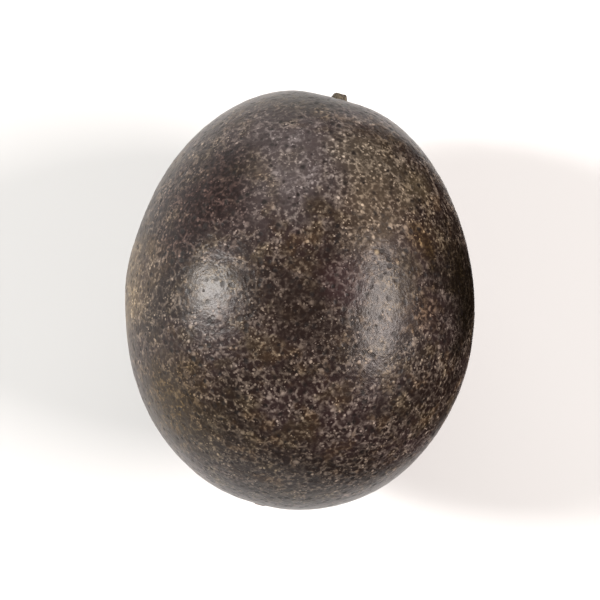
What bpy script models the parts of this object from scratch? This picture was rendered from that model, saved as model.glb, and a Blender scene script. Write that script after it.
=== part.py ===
"""A whole passion fruit as picked, lying on its side on a small flat spot.

Units are metres and +Z is up. The narrow stem end points along +Y. The origin is
on the ground, under the middle of the fruit's box.
"""

import math

import bmesh
import bpy
from mathutils import Matrix, Vector

NAME = "passion_fruit"

# Overall size, before the flat spot is taken off
LENGTH = 0.0616
WIDTH = 0.0510
HEIGHT = 0.0506

# The egg is slimmer towards the stem by this share, and fuller at both ends
TAPER = 0.035
FULLNESS = 0.022

# The stem sits a little to the +X side of the long axis
STEM_LEAN = math.radians(11.7)

# Stem end: a shallow dip, a low collar where the calyx was, and the stalk's stub
DIP_REACH = 0.0043
DIP_DEPTH = 0.0011
COLLAR_REACH = 0.0023
COLLAR_WIDTH = 0.0006
COLLAR_HEIGHT = 0.00015
STUB_REACH = 0.0012
STUB_EDGE = 0.00030
STUB_HEIGHT = 0.0014

# Blossom end: a slight hollow round the nib that the flower left
HOLLOW_REACH = 0.0030
HOLLOW_DEPTH = 0.00035
NIB_REACH = 0.0009
NIB_HEIGHT = 0.00060

# Uneven growth: three faint lobes over the seed walls, and two broad waves
LOBES = 3
LOBE_TURN = math.radians(20)
LOBE_HEIGHT = 0.00022
SWELL_HEIGHT = 0.00016
SWELL_AROUND = 2
SWELL_ALONG = 3.2
SWELL_START = math.radians(70)

# Soft dents, and one small swelling on the -X side. Each has a direction from the
# fruit's middle, a reach as a share of its half width, and a height.
BUMPS = (
    (Vector((-0.45, 0.40, 0.80)), 0.26, -0.00035),
    (Vector((0.70, -0.55, 0.35)), 0.32, -0.00030),
    (Vector((-1.00, 0.12, 0.05)), 0.15, 0.00035),
)

# How much of the underside the flat spot takes off
REST_DEPTH = 0.0006

# Mesh: rings crowd towards both ends, where the small forms are
SEGMENTS = 64
RINGS = 64
RING_CROWDING = 0.42

CUTTER_DEPTH = 0.004
RIND_COLOUR = "#3b2f2f"
RIND_ROUGHNESS = 0.42
SMOOTH_ANGLE = math.radians(40)


def clear_scene():
    for obj in list(bpy.data.objects):
        bpy.data.objects.remove(obj, do_unlink=True)


def new_collection(name, hidden=False):
    collection = bpy.data.collections.new(name)
    collection.hide_render = hidden
    bpy.context.scene.collection.children.link(collection)
    return collection


def linear(hex_colour):
    """A linear RGBA colour from sRGB hex."""
    channels = [int(hex_colour[i : i + 2], 16) / 255 for i in (1, 3, 5)]
    turned = [c / 12.92 if c <= 0.04045 else ((c + 0.055) / 1.055) ** 2.4 for c in channels]
    return (*turned, 1.0)


def rind_material():
    material = bpy.data.materials.new("rind")
    material.use_nodes = True
    shader = material.node_tree.nodes["Principled BSDF"]
    shader.inputs["Base Color"].default_value = linear(RIND_COLOUR)
    shader.inputs["Roughness"].default_value = RIND_ROUGHNESS
    shader.inputs["Metallic"].default_value = 0.0
    return material


def hill(distance, reach):
    """A smooth hill of height 1, falling away with distance."""
    return math.exp(-((distance / reach) ** 2))


def plateau(distance, reach, edge):
    """1 inside reach, 0 outside, with a soft edge between."""
    step = min(max((reach + edge - distance) / (2 * edge), 0.0), 1.0)
    return step * step * (3 - 2 * step)


def crowded(direction):
    """Moves a ring's direction towards its nearer pole, which lies on the Z axis."""
    polar = math.acos(min(max(direction.z, -1.0), 1.0))
    polar -= RING_CROWDING * math.sin(2 * polar)
    around = math.atan2(direction.y, direction.x)
    return Vector(
        (
            math.sin(polar) * math.cos(around),
            math.sin(polar) * math.sin(around),
            math.cos(polar),
        )
    )


def on_egg(direction):
    """The point of the plain egg in a unit direction, with the long axis along Y."""
    girth = 1 - TAPER * direction.y + FULLNESS * direction.y**2
    return Vector(
        (
            direction.x * girth * WIDTH / 2,
            direction.y * LENGTH / 2,
            direction.z * girth * HEIGHT / 2,
        )
    )


def growth(direction):
    """Height of the uneven growth over the plain egg. It fades out at both ends."""
    around = math.atan2(direction.z, direction.x)
    fade = 1 - direction.y**2
    lobes = LOBE_HEIGHT * math.cos(LOBES * (around - LOBE_TURN))
    wave = math.cos(SWELL_AROUND * around + SWELL_START + SWELL_ALONG * direction.y)
    height = fade * (lobes + SWELL_HEIGHT * wave)
    for middle, reach, bump_height in BUMPS:
        apart = (direction - middle.normalized()).length
        height += bump_height * hill(apart, reach)
    return height


def stem_relief(distance):
    """Height over the egg at a distance from the stem's axis."""
    dip = -DIP_DEPTH * hill(distance, DIP_REACH)
    collar = COLLAR_HEIGHT * hill(distance - COLLAR_REACH, COLLAR_WIDTH)
    stub = STUB_HEIGHT * plateau(distance, STUB_REACH, STUB_EDGE)
    return dip + collar + stub


def blossom_relief(distance):
    """Height over the egg at a distance from the blossom scar's middle."""
    return NIB_HEIGHT * hill(distance, NIB_REACH) - HOLLOW_DEPTH * hill(distance, HOLLOW_REACH)


def fruit_mesh():
    """The fruit before its flat spot is cut, standing with its lowest point under z = 0."""
    bm = bmesh.new()
    bmesh.ops.create_uvsphere(bm, u_segments=SEGMENTS, v_segments=RINGS, radius=1.0)
    stem = Vector((math.sin(STEM_LEAN), math.cos(STEM_LEAN), 0.0))
    pole_to_stem = Vector((0.0, 0.0, 1.0)).rotation_difference(stem).to_matrix()
    for vertex in bm.verts:
        direction = pole_to_stem @ crowded(vertex.co)
        point = on_egg(direction)
        outward = point.normalized()
        point += outward * growth(direction)
        along = direction.dot(stem)
        distance = WIDTH / 2 * math.sqrt(max(1 - along**2, 0.0))
        if along > 0:
            point += stem * stem_relief(distance)
        else:
            point -= stem * blossom_relief(distance)
        vertex.co = point
    low = Vector([min(vertex.co[axis] for vertex in bm.verts) for axis in range(3)])
    high = Vector([max(vertex.co[axis] for vertex in bm.verts) for axis in range(3)])
    middle = (low + high) / 2
    shift = Vector((-middle.x, -middle.y, -low.z - REST_DEPTH))
    bmesh.ops.translate(bm, verts=bm.verts, vec=shift)
    bmesh.ops.recalc_face_normals(bm, faces=bm.faces)
    mesh = bpy.data.meshes.new(NAME)
    bm.to_mesh(mesh)
    bm.free()
    return mesh


def ground_cutter(collection):
    """A block under z = 0, which takes the flat spot off the underside."""
    bm = bmesh.new()
    size = Matrix.Diagonal((WIDTH, LENGTH, CUTTER_DEPTH, 1.0))
    place = Matrix.Translation((0.0, 0.0, -CUTTER_DEPTH / 2))
    bmesh.ops.create_cube(bm, size=1.0, matrix=place @ size)
    mesh = bpy.data.meshes.new("ground_cutter")
    bm.to_mesh(mesh)
    bm.free()
    cutter = bpy.data.objects.new("ground_cutter", mesh)
    cutter.hide_render = True
    cutter.display_type = "WIRE"
    collection.objects.link(cutter)
    return cutter


def build():
    clear_scene()
    parts = new_collection("Passion fruit")
    cutters = new_collection("Cutters", hidden=True)
    mesh = fruit_mesh()
    mesh.materials.append(rind_material())
    mesh.shade_smooth()
    mesh.set_sharp_from_angle(angle=SMOOTH_ANGLE)
    fruit = bpy.data.objects.new(NAME, mesh)
    parts.objects.link(fruit)
    rest_spot = fruit.modifiers.new("rest spot", "BOOLEAN")
    rest_spot.operation = "DIFFERENCE"
    rest_spot.solver = "EXACT"
    rest_spot.object = ground_cutter(cutters)


build()
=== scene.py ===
import math

import bpy
from mathutils import Euler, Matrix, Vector


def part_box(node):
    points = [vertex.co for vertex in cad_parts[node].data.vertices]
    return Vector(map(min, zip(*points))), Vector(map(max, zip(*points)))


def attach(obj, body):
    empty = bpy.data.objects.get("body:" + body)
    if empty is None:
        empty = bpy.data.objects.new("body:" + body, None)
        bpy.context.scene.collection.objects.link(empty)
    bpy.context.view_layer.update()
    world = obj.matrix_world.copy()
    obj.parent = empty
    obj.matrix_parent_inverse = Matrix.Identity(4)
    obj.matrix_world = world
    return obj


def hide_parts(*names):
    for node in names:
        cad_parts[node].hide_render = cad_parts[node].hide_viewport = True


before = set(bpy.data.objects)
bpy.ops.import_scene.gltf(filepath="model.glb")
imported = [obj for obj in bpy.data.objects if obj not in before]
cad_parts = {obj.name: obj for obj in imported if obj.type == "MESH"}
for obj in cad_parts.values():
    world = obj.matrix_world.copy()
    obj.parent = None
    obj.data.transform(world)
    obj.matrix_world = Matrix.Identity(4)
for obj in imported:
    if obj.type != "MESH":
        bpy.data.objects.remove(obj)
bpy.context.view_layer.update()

# The fruit lies on its side. Its box comes from the frame, and its stem leans to the +X side.
FRUIT = "passion_fruit"
LOW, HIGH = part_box(FRUIT)
MIDDLE = (LOW + HIGH) / 2
HALF = (HIGH - LOW) / 2
STEM_LEAN = math.radians(11.7)
STEM = Vector((math.sin(STEM_LEAN), math.cos(STEM_LEAN), 0.0))
TO_STEM = Vector((HALF.x * STEM.x, HALF.y * STEM.y, 0.0))
STEM_END = MIDDLE + TO_STEM
BLOSSOM_END = MIDDLE - TO_STEM
UP = Vector((0.0, 0.0, 1.0))
UPRIGHT_TO_STEM = UP.rotation_difference(STEM)

# The picture: straight down on the fruit, whose long axis leans a little to the right
LENS = 200.0
SENSOR = 36.0
FRUIT_SHARE = 0.70
LEAN = math.radians(1.3)

# Soft boxes: name, degrees from +X towards +Y, degrees from straight up, size, watts, colour
SOFT_BOXES = (
    ("left_box", 173, 56, (0.42, 0.66), 71, "#fffaf5"),
    ("right_box", -2, 54, (1.30, 0.18), 79, "#fff4ee"),
    ("far_box", 92, 64, (2.40, 1.10), 20, "#fffaf5"),
)
LIGHT_DISTANCE = 2.0

# The fill from all round: its colour, its strength at the horizon and overhead, and the height
# from which it is as overhead
FILL = "#f6f3ea"
FILL_AT_HORIZON = 0.60
FILL_OVERHEAD = 0.18
FILL_HEIGHT = 0.4

# The floor, and the black card beside the fruit
FLOOR_SIDE = 6.0
CARD_PLACE = (0.031, 0.002, 0.025)
CARD_HEIGHT = 0.050
CARD_WIDTH = 0.060

# The skin's mesh before it is subdivided, and the caps that are cut off at both ends
SEGMENTS = 80
RINGS = 60
SUBDIVISIONS = 2
CAP_RADIUS = 0.0034

# How the drawn-on skin is evened out, how near the solid's corners are to be merged, and how
# near the stem's axis a point counts as on it
EVEN_OUT = 0.5
EVEN_OUT_TIMES = 2
MERGE_DISTANCE = 0.000002
ON_AXIS = 0.00001

# Rings that close each end: radius, and height over the rim of the cut cap
STEM_RINGS = (
    (0.00345, -0.00024),
    (0.00305, -0.00046),
    (0.00275, -0.00044),
    (0.00255, -0.00022),
    (0.00232, -0.00014),
    (0.00212, -0.00028),
    (0.00190, -0.00064),
    (0.00140, -0.00080),
    (0.00080, -0.00082),
)
BLOSSOM_RINGS = (
    (0.00310, 0.00010),
    (0.00225, 0.00006),
    (0.00165, -0.00004),
    (0.00125, -0.00004),
    (0.00105, 0.00012),
    (0.00088, 0.00030),
    (0.00062, 0.00042),
    (0.00040, 0.00040),
    (0.00018, 0.00024),
)

# Shallow creases that run into the stem's dip: how many, how deep, their ends measured from the
# axis, how they stray from even spacing, and how far below the stem's end they may lie
CREASES = 11
CREASE_DEPTH = 0.00016
CREASE_REACH = (0.0027, 0.0043)
CREASE_STRAY = 0.3
CREASE_RHYTHM = 2.4
STEM_END_DEPTH = 0.004

# Soft forms of the skin, each with its grain and its depth in metres
RELIEFS = (
    ("broad", "CLOUDS", 0.0090, 0.00016),
    ("leather", "CLOUDS", 0.0026, 0.00005),
    ("pebble", "VORONOI", 0.0014, 0.00005),
)
FLAT_SPOT_DEPTH = 0.00015

# The stalk's stub. Its cut end is inset three times: width and depth, as shares of its radius.
STUB_SIDES = 18
STUB_RADIUS = 0.00095
STUB_LENGTH = 0.0022
STUB_SINK = 0.00035
STUB_FLARE = 2.0
STUB_TILT = math.radians(9)
STUB_INSETS = ((0.22, 0.0), (0.28, -0.18), (0.25, -0.06))
STUB_SOFT_RIM = 0.08
STUB_SUBDIVISIONS = 2
STUB_GRAIN = 0.0006
STUB_ROUGH = 0.00018

# Noises that the rind's pattern is made of: grain in metres, detail, roughness. Real wax has a
# grain of a few thousandths of a millimetre, too fine to show, so dust is drawn coarse.
NOISES = (
    ("broad", 0.0150, 3.0, 0.55),
    ("crowding", 0.0021, 3.0, 0.60),
    ("middling", 0.0052, 3.0, 0.55),
    ("small", 0.0031, 3.0, 0.60),
    ("grain", 0.00070, 3.0, 0.60),
    ("dust", 0.00036, 2.0, 0.60),
)

# Colours of the rind: first the skin, then the pores in it
SKIN = "#18100e"
PORE = "#8f8174"

# Mottling: the noise that drives it, where it sets in and is full, its strength, skin, pores
MOTTLES = (
    ("broad", 0.44, 0.60, 0.90, "#241a1a", "#958881"),
    ("middling", 0.50, 0.64, 0.55, "#271e14", "#97876d"),
    ("small", 0.54, 0.68, 0.60, "#2c2017", "#9c856b"),
)

# Patches, most of them the skin's own colour and some of them painted shade and painted sheen: place
# seen from above, measured from the fruit's middle, with 1 for the upper side and -1 for the
# underside. Then reach, strength, skin, pores.
PATCHES_AND_PAINTED_LIGHT = (
    (0.0010, -0.0010, 1, 0.0130, 0.85, "#160f0c", "#574c43"),
    # Partly wax bloom and partly painted sheen: pale lilac-grey on the upper side towards the stem
    # end, where the far soft box is reflected
    (0.0000, 0.0195, 1, 0.0140, 0.92, "#373030", "#8f8888"),
    (0.0095, 0.0205, 1, 0.0090, 0.85, "#373028", "#b3a592"),
    (0.0102, 0.0125, 1, 0.0085, 0.80, "#372e25", "#aa9984"),
    (0.0165, 0.0170, 1, 0.0050, 0.60, "#3b3326", "#736750"),
    # Painted shade: these two darken the skin along the +X edge, beside the black card
    (0.0245, 0.0010, 1, 0.0140, 0.92, "#090603", "#251c11"),
    (0.0212, 0.0065, 1, 0.0080, 0.75, "#0e0905", "#392e1a"),
    (0.0172, 0.0090, 1, 0.0042, 0.62, "#22170a", "#a08046"),
    (0.0172, -0.0010, 1, 0.0045, 0.62, "#1a1007", "#87643a"),
    (0.0060, 0.0026, 1, 0.0050, 0.70, "#27191a", "#7b6d6a"),
    (-0.0100, 0.0185, 1, 0.0075, 0.85, "#140c0c", "#4d3c36"),
    (-0.0150, 0.0127, 1, 0.0110, 0.90, "#130909", "#664e48"),
    (-0.0178, -0.0150, 1, 0.0130, 0.85, "#241a0a", "#765e35"),
    # Painted reflection: a pale patch that brightens the -X edge
    (-0.0248, 0.0010, 1, 0.0110, 0.70, "#4a3c2a", "#bfab8a"),
    # Painted shade: darkens the edge at the stem end, against the pale floor's reflection there
    (0.0000, 0.0298, 1, 0.0085, 0.85, "#140e07", "#483c25"),
    (-0.0120, -0.0060, -1, 0.0090, 0.70, "#2d2119", "#948066"),
    (0.0150, -0.0170, -1, 0.0070, 0.70, "#32241a", "#a08763"),
    (0.0080, 0.0140, -1, 0.0080, 0.70, "#1b1213", "#5c4d4b"),
    (0.0108, 0.0070, 1, 0.0007, 0.90, "#94805c", "#c4ae86"),
    (-0.0060, -0.0190, 1, 0.0008, 0.80, "#7c6848", "#b49c74"),
    (-0.0210, 0.0060, -1, 0.0010, 0.80, "#7c6848", "#b49c74"),
    (0.0200, 0.0120, -1, 0.0008, 0.80, "#7c6848", "#b49c74"),
)

# Cork round both ends: the end, how far it reaches, strength, skin, pores
CORK = (
    (STEM_END, 0.0066, 0.60, "#37281c", "#9a8260"),
    (STEM_END, 0.0036, 0.92, "#5b4732", "#9a8464"),
    (BLOSSOM_END, 0.0044, 0.55, "#37281c", "#9a8260"),
    (BLOSSOM_END, 0.0019, 0.90, "#54402c", "#93795a"),
)

# Scale of the noise that breaks the cork's edge into spokes round the axis
CORK_SPOKES = 5.0

# Edges of patches and cork, as shares of their reach: how far noise pushes them about, where
# they set in, and where each is full
RAGGED = 1.6
EDGE_START = 1.8
PATCH_FULL = 0.9
CORK_FULL = 1.4

# Pores: spacing, least and most radius in metres, faintest and strongest
PORES = (
    (0.00050, 0.00007, 0.00023, 0.20, 0.72),
    (0.00085, 0.00012, 0.00036, 0.25, 0.76),
    (0.00185, 0.00022, 0.00064, 0.15, 0.60),
)

# A spot is full within this share of its radius
FULL_SHARE = 0.35

# Pits, as pores but dark and sunken
PIT = "#0e0908"
PITS = (0.00105, 0.00022, 0.00062, 0.25, 0.95)

# The net of paler skin between the pores: mesh size, half width of its lines, strength, and the
# noise from which it starts to show and shows in full
NET_SPACING = 0.00110
NET_WIDTH = 0.00028
NET_STRENGTH = 0.37
NET_WORN = (0.37, 0.66)

# How far, and with what grain, pores and net are pushed out of their grid
WARP_GRAIN = 0.0012
WARP_REACH = 0.00065

# Where pores and net crowd: the noise's range, and their strength over it
CROWDING_NOISE = (0.40, 0.58)
CROWDING_STRENGTH = (0.22, 1.1)

# The wax: roughness on skin and on pores, what a pit adds, index, and how much it reflects
SKIN_ROUGHNESS = 0.31
PORE_ROUGHNESS = 0.46
PIT_ROUGHER = 0.16
WAX_IOR = 1.40
WAX_REFLECTION = 0.28

# Heights of the fine relief in metres
PORE_HEIGHT = 0.000028
PIT_HEIGHT = -0.000030
GRAIN_HEIGHT = 0.000035
DUST_HEIGHT = 0.000020

# The stalk: colours, size of its fibres across and along, how high they stand, and the noise over
# which the bark turns from dark to pale
BARK_DARK = "#211a16"
BARK_PALE = "#585040"
CUT_WOOD = "#857b66"
PITH = "#2c2018"
FIBRE_WIDTH = 0.00025
FIBRE_LENGTH = 0.0012
FIBRE_HEIGHT = 0.00008
BARK_TURN = (0.35, 0.65)

# The stub's cut end, as shares of its radius: how ragged, where cut wood and pith set in and are
# full. Then the strength of each.
CUT_RAGGED = 0.40
CUT_EDGE = (1.15, 0.85)
PITH_EDGE = (0.62, 0.36)
CUT_STRENGTH = 0.75
PITH_STRENGTH = 0.9


def linear(hex_colour):
    """A linear RGBA colour from sRGB hex."""
    channels = [int(hex_colour[i : i + 2], 16) / 255 for i in (1, 3, 5)]
    turned = [c / 12.92 if c <= 0.04045 else ((c + 0.055) / 1.055) ** 2.4 for c in channels]
    return (*turned, 1.0)


def add(tree, kind, inputs=None, **settings):
    """Adds a node with its settings and links. A node given as an input gives its first output."""
    made = tree.nodes.new("ShaderNode" + kind)
    for name, value in settings.items():
        setattr(made, name, value)
    for name, value in (inputs or {}).items():
        if isinstance(value, bpy.types.Node):
            value = next(output for output in value.outputs if output.enabled)
        if isinstance(value, bpy.types.NodeSocket):
            tree.links.new(value, made.inputs[name])
        else:
            made.inputs[name].default_value = value
    return made


def new_material(name):
    material = bpy.data.materials.new(name)
    material.use_nodes = True
    return material, material.node_tree, material.node_tree.nodes["Principled BSDF"]


def deselect():
    if bpy.context.mode != "OBJECT":
        bpy.ops.object.mode_set(mode="OBJECT")
    bpy.ops.object.select_all(action="DESELECT")


def start(name):
    """Names the primitive that was just added, and puts its place in its mesh."""
    piece = bpy.context.object
    piece.name = name
    piece.data.name = name
    bpy.ops.object.transform_apply(location=True, rotation=True, scale=True)
    return piece


def finish_modifiers(piece):
    deselect()
    bpy.context.view_layer.objects.active = piece
    piece.select_set(True)
    for modifier in list(piece.modifiers):
        bpy.ops.object.modifier_apply(modifier=modifier.name)


def select_where(piece, wanted):
    """Goes into edit mode with just the vertices that wanted accepts selected."""
    deselect()
    bpy.context.view_layer.objects.active = piece
    piece.select_set(True)
    bpy.ops.object.mode_set(mode="EDIT")
    bpy.ops.mesh.select_mode(type="VERT")
    bpy.ops.mesh.select_all(action="DESELECT")
    bpy.ops.object.mode_set(mode="OBJECT")
    for vertex in piece.data.vertices:
        vertex.select = wanted(vertex.co)
    bpy.ops.object.mode_set(mode="EDIT")


def camera():
    data = bpy.data.cameras.new("camera")
    data.lens = LENS
    data.sensor_width = SENSOR
    obj = bpy.data.objects.new("camera", data)
    distance = 2 * HALF.y / FRUIT_SHARE * LENS / SENSOR
    obj.location = MIDDLE + UP * distance
    obj.rotation_euler = Euler((0.0, 0.0, LEAN))
    bpy.context.scene.collection.objects.link(obj)
    bpy.context.scene.camera = obj


def softbox(name, turn, tip, size, power, colour):
    """A soft panel of light aimed at the fruit, turned from +X and tipped from straight up."""
    data = bpy.data.lights.new(name, "AREA")
    data.shape = "RECTANGLE"
    data.size, data.size_y = size
    data.energy = power
    data.color = linear(colour)[:3]
    obj = bpy.data.objects.new(name, data)
    turn = math.radians(turn)
    tip = math.radians(tip)
    aside = Vector((math.cos(turn), math.sin(turn), 0.0))
    towards = aside * math.sin(tip) + UP * math.cos(tip)
    obj.location = MIDDLE + towards * LIGHT_DISTANCE
    obj.rotation_euler = towards.to_track_quat("Z", "Y").to_euler()
    obj.visible_camera = False
    bpy.context.scene.collection.objects.link(obj)


def studio():
    """A pale floor, a soft box on each side, a wide one past the stem end, and a dim fill."""
    deselect()
    bpy.ops.mesh.primitive_plane_add(size=FLOOR_SIDE, location=(0.0, 0.0, 0.0))
    floor = start("floor")

    # Uncoated white paper, rolled: an even pale grey with no shine
    paper, _, shader = new_material("white_paper_sweep")
    shader.inputs["Base Color"].default_value = linear("#cdcfd1")
    shader.inputs["Roughness"].default_value = 0.9
    shader.inputs["Specular IOR Level"].default_value = 0.2
    floor.data.materials.append(paper)
    for box in SOFT_BOXES:
        softbox(*box)
    world = bpy.data.worlds.new("studio")
    world.use_nodes = True
    tree = world.node_tree
    direction = add(tree, "SeparateXYZ", {0: add(tree, "TexCoord").outputs["Generated"]})
    strength = add(
        tree, "MapRange",
        {
            "Value": direction.outputs["Z"], "From Min": 0.0, "From Max": FILL_HEIGHT,
            "To Min": FILL_AT_HORIZON, "To Max": FILL_OVERHEAD,
        },
        interpolation_type="SMOOTHSTEP",
    )
    background = tree.nodes["Background"]
    background.inputs["Color"].default_value = linear(FILL)
    tree.links.new(strength.outputs["Result"], background.inputs["Strength"])
    bpy.context.scene.world = world
    bpy.context.scene.view_settings.view_transform = "Standard"


def dark_card():
    """A black card on the fruit's +X side. Only the gloss sees it, and the edge there turns dark."""
    deselect()
    bpy.ops.mesh.primitive_plane_add(
        size=1.0, location=CARD_PLACE, rotation=(0.0, math.radians(-90), 0.0),
        scale=(CARD_HEIGHT, CARD_WIDTH, 1.0),
    )
    card = start("dark_card")

    # Black wool felt, pressed: takes in nearly all light
    felt, _, shader = new_material("black_felt")
    shader.inputs["Base Color"].default_value = linear("#0a0908")
    shader.inputs["Roughness"].default_value = 1.0
    shader.inputs["Specular IOR Level"].default_value = 0.0
    card.data.materials.append(felt)
    card.visible_camera = False
    card.visible_diffuse = False
    card.visible_shadow = False


def smooth_form():
    """A merged copy of the fruit's solid, for the skin to be drawn onto."""
    deselect()
    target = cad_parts[FRUIT].copy()
    target.data = target.data.copy()
    target.name = "form"
    bpy.context.scene.collection.objects.link(target)
    select_where(target, lambda co: True)
    bpy.ops.mesh.remove_doubles(threshold=MERGE_DISTANCE)
    bpy.ops.object.mode_set(mode="OBJECT")
    return target


def from_axis(co, end):
    """Distance of a point from the stem's axis at one end of the fruit."""
    apart = co - end
    return (apart - apart.dot(STEM) * STEM).length


def work_end(skin, end, outward, rings):
    """Cuts the cap off one end of the skin, and closes it again ring by ring to its middle."""

    def in_cap(co):
        return from_axis(co, end) < CAP_RADIUS and (co - MIDDLE).dot(outward) > 0

    select_where(skin, in_cap)
    bpy.ops.mesh.delete(type="VERT")
    bpy.ops.mesh.select_non_manifold()
    bpy.ops.object.mode_set(mode="OBJECT")
    rim = [vertex.co for vertex in skin.data.vertices if vertex.select]
    middle = sum(rim, Vector()) / len(rim)
    radius = sum((co - middle).length for co in rim) / len(rim)
    bpy.ops.object.mode_set(mode="EDIT")
    bpy.ops.mesh.edge_face_add()
    last_height = 0.0
    for ring_radius, height in rings:
        bpy.ops.mesh.extrude_region_move()
        bpy.ops.transform.resize(
            value=(ring_radius / radius,) * 3, center_override=middle, orient_type="GLOBAL"
        )
        step = outward * (height - last_height)
        bpy.ops.transform.translate(value=step, orient_type="GLOBAL")
        middle += step
        radius = ring_radius
        last_height = height
    bpy.ops.mesh.merge(type="CENTER")
    bpy.ops.object.mode_set(mode="OBJECT")


def crease(skin):
    """Presses shallow creases into the rim of the stem's dip, unevenly spaced."""
    first = STEM.cross(UP)
    second = STEM.cross(first)
    near, far = CREASE_REACH
    half_step = math.pi / SEGMENTS
    for number in range(CREASES):
        stray = CREASE_STRAY * math.sin(CREASE_RHYTHM * number)
        turn = 2 * math.pi * (number + stray) / CREASES

        def in_crease(co):
            apart = co - STEM_END
            around = math.atan2(apart.dot(second), apart.dot(first))
            off = (around - turn + math.pi) % (2 * math.pi) - math.pi
            at_stem = apart.dot(STEM) > -STEM_END_DEPTH
            return at_stem and near < from_axis(co, STEM_END) < far and abs(off) < half_step

        select_where(skin, in_crease)
        bpy.ops.transform.translate(value=STEM * -CREASE_DEPTH, orient_type="GLOBAL")
    bpy.ops.object.mode_set(mode="OBJECT")


def lay_out(skin):
    """Gives the skin a map with columns round the stem's axis and rows from end to end."""
    first = UPRIGHT_TO_STEM @ Vector((1.0, 0.0, 0.0))
    second = STEM.cross(first)
    layer = skin.data.uv_layers[0]
    layer.name = "OFBake"
    for face in skin.data.polygons:
        apart = face.center - MIDDLE
        column = math.atan2(apart.dot(second), apart.dot(first)) / (2 * math.pi) % 1.0
        for loop in face.loop_indices:
            point = skin.data.vertices[skin.data.loops[loop].vertex_index].co
            apart = point - MIDDLE
            round_axis = math.atan2(apart.dot(second), apart.dot(first)) / (2 * math.pi)
            off = (round_axis - column + 0.5) % 1.0 - 0.5
            if min(from_axis(point, STEM_END), from_axis(point, BLOSSOM_END)) < ON_AXIS:
                off = 0.0
            row = 1 - apart.angle(STEM) / math.pi
            layer.data[loop].uv = (min(max(column + off, 0.0), 1.0), row)


def rind(target):
    """The skin: a sphere drawn onto the fruit's form, with worked ends and leathery relief."""
    deselect()
    bpy.ops.mesh.primitive_uv_sphere_add(
        segments=SEGMENTS, ring_count=RINGS, radius=HALF.x, location=MIDDLE,
        rotation=UPRIGHT_TO_STEM.to_euler(),
    )
    skin = start("rind")
    select_where(skin, lambda co: True)
    bpy.ops.transform.resize(
        value=(1.0, HALF.y / HALF.x, HALF.z / HALF.x), center_override=MIDDLE, orient_type="GLOBAL"
    )
    bpy.ops.object.mode_set(mode="OBJECT")
    wrap = skin.modifiers.new("onto the form", "SHRINKWRAP")
    wrap.target = target
    wrap.wrap_method = "TARGET_PROJECT"
    smooth = skin.modifiers.new("even out", "SMOOTH")
    smooth.factor = EVEN_OUT
    smooth.iterations = EVEN_OUT_TIMES
    finish_modifiers(skin)
    work_end(skin, STEM_END, STEM, STEM_RINGS)
    work_end(skin, BLOSSOM_END, -STEM, BLOSSOM_RINGS)
    crease(skin)
    rounder = skin.modifiers.new("round", "SUBSURF")
    rounder.levels = rounder.render_levels = SUBDIVISIONS
    for name, kind, grain, depth in RELIEFS:
        texture = bpy.data.textures.new(name, kind)
        texture.noise_scale = grain
        relief = skin.modifiers.new(name, "DISPLACE")
        relief.texture = texture
        relief.texture_coords = "LOCAL"
        relief.strength = depth
        relief.mid_level = 0.5
    finish_modifiers(skin)

    # The lowest part is pressed flat onto the floor
    select_where(skin, lambda co: co.z < FLAT_SPOT_DEPTH)
    bpy.ops.transform.resize(
        value=(1.0, 1.0, 0.0), center_override=(0.0, 0.0, 0.0), orient_type="GLOBAL"
    )
    bpy.ops.object.mode_set(mode="OBJECT")
    skin.data.shade_smooth()
    lay_out(skin)
    return skin


def stalk_stub(target):
    """The stub of the stalk: a short woody peg with a flared foot and a hollow, slanting end."""
    top = max(vertex.co.dot(STEM) for vertex in target.data.vertices)
    top -= STUB_SINK
    crown = STEM_END + STEM * (top - STEM_END.dot(STEM))
    deselect()
    bpy.ops.mesh.primitive_cylinder_add(
        vertices=STUB_SIDES, radius=STUB_RADIUS, depth=STUB_LENGTH,
        location=crown - STEM * STUB_LENGTH / 2, rotation=UPRIGHT_TO_STEM.to_euler(),
    )
    stub = start("stalk_stub")
    middle_height = top - STUB_LENGTH / 2
    select_where(stub, lambda co: co.dot(STEM) < middle_height)
    bpy.ops.transform.resize(
        value=(STUB_FLARE,) * 3, center_override=crown - STEM * STUB_LENGTH, orient_type="GLOBAL"
    )
    select_where(stub, lambda co: co.dot(STEM) > middle_height)
    for width, depth in STUB_INSETS:
        bpy.ops.mesh.inset(thickness=STUB_RADIUS * width, depth=STUB_RADIUS * depth)
    select_where(stub, lambda co: co.dot(STEM) > middle_height)
    bpy.ops.transform.rotate(
        value=STUB_TILT, orient_axis="X", center_override=crown, orient_type="GLOBAL"
    )
    bpy.ops.object.mode_set(mode="OBJECT")
    rim = stub.modifiers.new("soft rim", "BEVEL")
    rim.width = STUB_RADIUS * STUB_SOFT_RIM
    rim.segments = 2
    rounder = stub.modifiers.new("round", "SUBSURF")
    rounder.levels = rounder.render_levels = STUB_SUBDIVISIONS
    texture = bpy.data.textures.new("dry stalk", "CLOUDS")
    texture.noise_scale = STUB_GRAIN
    rough = stub.modifiers.new("dry", "DISPLACE")
    rough.texture = texture
    rough.texture_coords = "LOCAL"
    rough.strength = STUB_ROUGH
    rough.mid_level = 0.5
    finish_modifiers(stub)
    stub.data.shade_smooth()
    return stub


def on_skin(x, y, side):
    """The point of the skin at a place seen from above, measured from the fruit's middle."""
    height = math.sqrt(max(1 - (x / HALF.x) ** 2 - (y / HALF.y) ** 2, 0.0))
    return MIDDLE + Vector((x, y, HALF.z * height * side))


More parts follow.
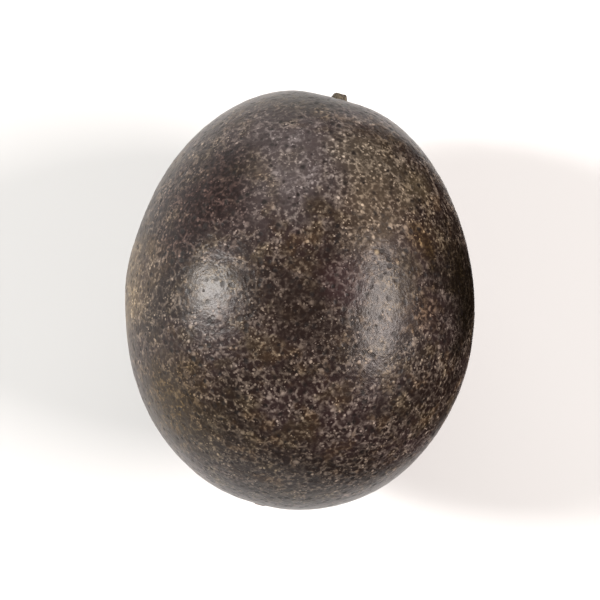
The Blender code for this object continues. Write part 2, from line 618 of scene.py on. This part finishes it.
def spots(tree, where, spacing, least, most, faintest, strongest):
    """Ragged round spots, one in each cell of a loose grid, of uneven size and strength."""
    cells = add(tree, "TexVoronoi", {"Vector": where, "Scale": 1 / spacing, "Randomness": 1.0})
    chance = add(tree, "SeparateColor", {"Color": cells.outputs["Color"]})
    radius = add(
        tree, "MapRange",
        {"Value": chance.outputs["Red"], "To Min": least / spacing, "To Max": most / spacing},
    )
    core = add(tree, "Math", {0: radius, 1: FULL_SHARE}, operation="MULTIPLY")
    strength = add(
        tree, "MapRange",
        {"Value": chance.outputs["Green"], "To Min": faintest, "To Max": strongest},
    )
    return add(
        tree, "MapRange",
        {"Value": cells, "From Min": radius, "From Max": core, "To Max": strength},
        interpolation_type="SMOOTHSTEP",
    )


def rind_material():
    """Waxy leathery rind, grown. Its wax gives a soft satin shine over a dark aubergine skin,
    mottled with plum, olive and gold, and all over fine tan pores."""
    material, tree, shader = new_material("waxy_fruit_rind")
    where = add(tree, "TexCoord").outputs["Object"]
    clouds = {
        name: add(
            tree, "TexNoise",
            {"Vector": where, "Scale": 1 / grain, "Detail": detail, "Roughness": roughness},
        )
        for name, grain, detail, roughness in NOISES
    }

    # Mottling all over, then patches, some of them painted shade and painted sheen, then cork round
    # both ends, each with its two colours
    masks = [
        (
            add(
                tree, "MapRange",
                {"Value": clouds[name], "From Min": low, "From Max": high, "To Max": strength},
                interpolation_type="SMOOTHSTEP",
            ),
            skin_colour,
            pore_colour,
        )
        for name, low, high, strength, skin_colour, pore_colour in MOTTLES
    ]
    # Some of these patches paint shade on the +X edge and on the edge at the stem end, and paint
    # sheen on the -X edge and towards the stem end
    for x, y, side, reach, strength, skin_colour, pore_colour in PATCHES_AND_PAINTED_LIGHT:
        place = on_skin(x, y, side)
        apart = add(tree, "VectorMath", {0: where, 1: place}, operation="DISTANCE")
        ragged = add(
            tree, "Math",
            {0: clouds["middling"], 1: RAGGED * reach, 2: apart.outputs["Value"]},
            operation="MULTIPLY_ADD",
        )
        mask = add(
            tree, "MapRange",
            {
                "Value": ragged, "From Min": EDGE_START * reach, "From Max": PATCH_FULL * reach,
                "To Max": strength,
            },
            interpolation_type="SMOOTHSTEP",
        )
        masks.append((mask, skin_colour, pore_colour))
    for end, reach, strength, skin_colour, pore_colour in CORK:
        apart = add(tree, "VectorMath", {0: where, 1: end}, operation="SUBTRACT")
        along = add(tree, "VectorMath", {0: apart, 1: STEM}, operation="PROJECT")
        across = add(tree, "VectorMath", {0: apart, 1: along}, operation="SUBTRACT")
        spoke = add(tree, "VectorMath", {0: across}, operation="NORMALIZE")
        spokes = add(
            tree, "TexNoise",
            {"Vector": spoke, "Scale": CORK_SPOKES, "Detail": 3.0, "Roughness": 0.7},
        )
        near = add(tree, "VectorMath", {0: apart}, operation="LENGTH").outputs["Value"]
        ragged = add(
            tree, "Math", {0: spokes, 1: RAGGED * reach, 2: near}, operation="MULTIPLY_ADD"
        )
        mask = add(
            tree, "MapRange",
            {
                "Value": ragged, "From Min": EDGE_START * reach, "From Max": CORK_FULL * reach,
                "To Max": strength,
            },
            interpolation_type="SMOOTHSTEP",
        )
        masks.append((mask, skin_colour, pore_colour))
    skin, pore = linear(SKIN), linear(PORE)
    for mask, skin_colour, pore_colour in masks:
        skin = add(
            tree, "Mix", {"Factor": mask, "A": skin, "B": linear(skin_colour)}, data_type="RGBA"
        )
        pore = add(
            tree, "Mix", {"Factor": mask, "A": pore, "B": linear(pore_colour)}, data_type="RGBA"
        )

    # Pores over a worn net of paler skin, with dark pits between them
    warp = add(tree, "TexNoise", {"Vector": where, "Scale": 1 / WARP_GRAIN, "Detail": 3.0})
    shift = add(
        tree, "VectorMath", {0: warp.outputs["Color"], 1: (-0.5, -0.5, -0.5)}, operation="ADD"
    )
    warped = add(
        tree, "VectorMath", {0: shift, 1: (WARP_REACH,) * 3, 2: where}, operation="MULTIPLY_ADD"
    )
    dots = 0.0
    for layer in PORES:
        dots = add(tree, "Math", {0: dots, 1: spots(tree, warped, *layer)}, operation="MAXIMUM")
    pits = spots(tree, warped, *PITS)
    edges = add(
        tree, "TexVoronoi", {"Vector": warped, "Scale": 1 / NET_SPACING, "Randomness": 1.0},
        feature="DISTANCE_TO_EDGE",
    )
    worn = add(
        tree, "MapRange",
        {
            "Value": clouds["grain"], "From Min": NET_WORN[0], "From Max": NET_WORN[1],
            "To Max": NET_STRENGTH,
        },
        interpolation_type="SMOOTHSTEP",
    )
    net = add(
        tree, "MapRange",
        {"Value": edges, "From Min": NET_WIDTH / NET_SPACING, "From Max": 0.0, "To Max": worn},
        interpolation_type="SMOOTHSTEP",
    )
    speckle = add(tree, "Math", {0: dots, 1: net}, operation="MAXIMUM")
    crowding = add(
        tree, "MapRange",
        {
            "Value": clouds["crowding"], "From Min": CROWDING_NOISE[0], "From Max": CROWDING_NOISE[1],
            "To Min": CROWDING_STRENGTH[0], "To Max": CROWDING_STRENGTH[1],
        },
    )
    speckle = add(tree, "Math", {0: speckle, 1: crowding}, operation="MULTIPLY")
    skin = add(tree, "Mix", {"Factor": speckle, "A": skin, "B": pore}, data_type="RGBA")
    skin = add(tree, "Mix", {"Factor": pits, "A": skin, "B": linear(PIT)}, data_type="RGBA")
    tree.links.new(skin.outputs["Result"], shader.inputs["Base Color"])

    # Satin wax, duller on the corky pores and in the pits
    gloss = add(
        tree, "MapRange", {"Value": speckle, "To Min": SKIN_ROUGHNESS, "To Max": PORE_ROUGHNESS}
    )
    gloss = add(tree, "Math", {0: pits, 1: PIT_ROUGHER, 2: gloss}, operation="MULTIPLY_ADD")
    tree.links.new(gloss.outputs["Value"], shader.inputs["Roughness"])
    shader.inputs["IOR"].default_value = WAX_IOR
    shader.inputs["Specular IOR Level"].default_value = WAX_REFLECTION

    # Fine relief: pores that stand up a little, sunken pits, a leathery grain and dusty wax
    height = add(tree, "Math", {0: speckle, 1: PORE_HEIGHT}, operation="MULTIPLY")
    for pattern, metres in (
        (pits, PIT_HEIGHT),
        (clouds["grain"], GRAIN_HEIGHT),
        (clouds["dust"], DUST_HEIGHT),
    ):
        height = add(tree, "Math", {0: pattern, 1: metres, 2: height}, operation="MULTIPLY_ADD")
    bump = add(tree, "Bump", {"Height": height, "Strength": 1.0, "Distance": 1.0})
    tree.links.new(bump.outputs["Normal"], shader.inputs["Normal"])
    return material


def stalk_material():
    """Dry woody stalk, grown and cut. It is grey-brown with fibres along it, and quite matt."""
    material, tree, shader = new_material("dry_stalk_wood")
    where = add(tree, "TexCoord").outputs["Object"]
    along = add(
        tree, "Mapping",
        {
            "Vector": where, "Rotation": (0.0, 0.0, STEM_LEAN),
            "Scale": (1 / FIBRE_WIDTH, 1 / FIBRE_LENGTH, 1 / FIBRE_WIDTH),
        },
    )
    fibres = add(
        tree, "TexNoise", {"Vector": along, "Scale": 1.0, "Detail": 3.0, "Roughness": 0.6}
    )
    tone = add(
        tree, "MapRange", {"Value": fibres, "From Min": BARK_TURN[0], "From Max": BARK_TURN[1]},
        interpolation_type="SMOOTHSTEP",
    )
    bark = add(
        tree, "Mix", {"Factor": tone, "A": linear(BARK_DARK), "B": linear(BARK_PALE)},
        data_type="RGBA",
    )

    # The cut end is paler than the bark, with a dark pith
    apart = add(tree, "VectorMath", {0: where, 1: STEM_END}, operation="SUBTRACT")
    lengthwise = add(tree, "VectorMath", {0: apart, 1: STEM}, operation="PROJECT")
    across = add(tree, "VectorMath", {0: apart, 1: lengthwise}, operation="SUBTRACT")
    radius = add(tree, "VectorMath", {0: across}, operation="LENGTH").outputs["Value"]
    colour = bark
    ragged = add(
        tree, "Math", {0: fibres, 1: CUT_RAGGED * STUB_RADIUS, 2: radius}, operation="MULTIPLY_ADD"
    )
    for (outer, inner), strength, inside in (
        (CUT_EDGE, CUT_STRENGTH, CUT_WOOD),
        (PITH_EDGE, PITH_STRENGTH, PITH),
    ):
        mask = add(
            tree, "MapRange",
            {
                "Value": ragged, "From Min": outer * STUB_RADIUS, "From Max": inner * STUB_RADIUS,
                "To Max": strength,
            },
        )
        colour = add(
            tree, "Mix", {"Factor": mask, "A": colour, "B": linear(inside)}, data_type="RGBA"
        )
    tree.links.new(colour.outputs["Result"], shader.inputs["Base Color"])
    shader.inputs["Roughness"].default_value = 0.85
    height = add(tree, "Math", {0: fibres, 1: FIBRE_HEIGHT}, operation="MULTIPLY")
    bump = add(tree, "Bump", {"Height": height, "Strength": 1.0, "Distance": 1.0})
    tree.links.new(bump.outputs["Normal"], shader.inputs["Normal"])
    return material


camera()
studio()
dark_card()
form = smooth_form()
skin = rind(form)
skin.data.materials.append(rind_material())
stub = stalk_stub(form)
stub.data.materials.append(stalk_material())
bpy.data.objects.remove(form)
for piece in (skin, stub):
    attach(piece, "root")
    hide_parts(FRUIT)
